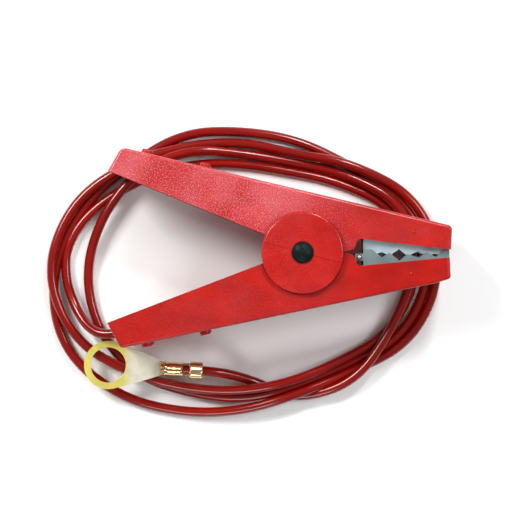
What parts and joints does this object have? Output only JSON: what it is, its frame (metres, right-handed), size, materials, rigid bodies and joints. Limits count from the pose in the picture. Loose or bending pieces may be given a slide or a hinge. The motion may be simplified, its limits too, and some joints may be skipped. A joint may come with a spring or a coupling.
{
  "type": "ground clamp",
  "caption": "Spring clamp with red insulated handles, toothed steel jaws and a coiled lead that ends in a ring terminal.",
  "frame": {"origin": "centre of the clamp's box, without the free lead and its terminal", "axes": "+X along the jaws to their tips, +Y across the handles, +Z along the hinge, away from the floor"},
  "size_m": [0.1261, 0.092, 0.0298],
  "materials": {
    "red_plastic": "satin moulded plastic",
    "zinc_steel": "dull zinc plate",
    "spring_steel": "drawn wire",
    "black_rivet": "semi-gloss black",
    "tinned_brass": "satin",
    "brass_terminal": "satin pressed brass",
    "copper": "bare strands",
    "red_lead": "glossy PVC"
  },
  "bodies": {
    "lower_half": {"lower_shell": "red_plastic", "lower_jaw_liner": "zinc_steel", "lower_liner_pin": "red_plastic", "lower_liner_rivet": "zinc_steel", "pivot_pin": "black_rivet", "pivot_cap": "black_rivet", "front_washer": "zinc_steel", "back_washer": "zinc_steel", "spring_bush": "zinc_steel", "torsion_spring": "spring_steel", "lead_lug": "tinned_brass", "lug_rivets": "zinc_steel", "lead_conductor": "copper", "cord_inner_run": "red_lead", "cord_lead": "red_lead", "cord_tail": "red_lead", "cord_coil": "red_lead", "ring_terminal": "brass_terminal", "terminal_conductor": "copper"},
    "upper_half": {"upper_shell": "red_plastic", "upper_jaw_liner": "zinc_steel", "upper_liner_pin": "red_plastic"}
  },
  "joints": [
    {"name": "jaw_hinge", "type": "hinge", "parent": "lower_half", "child": "upper_half", "pos_m": [0.00696, -0.00133, 0], "axis": [0, 0, 1], "range_deg": [0, 36], "stiffness_Nm_per_rad": 0.8, "springref_deg": -45.84, "deforming": ["torsion_spring"]}
  ]
}
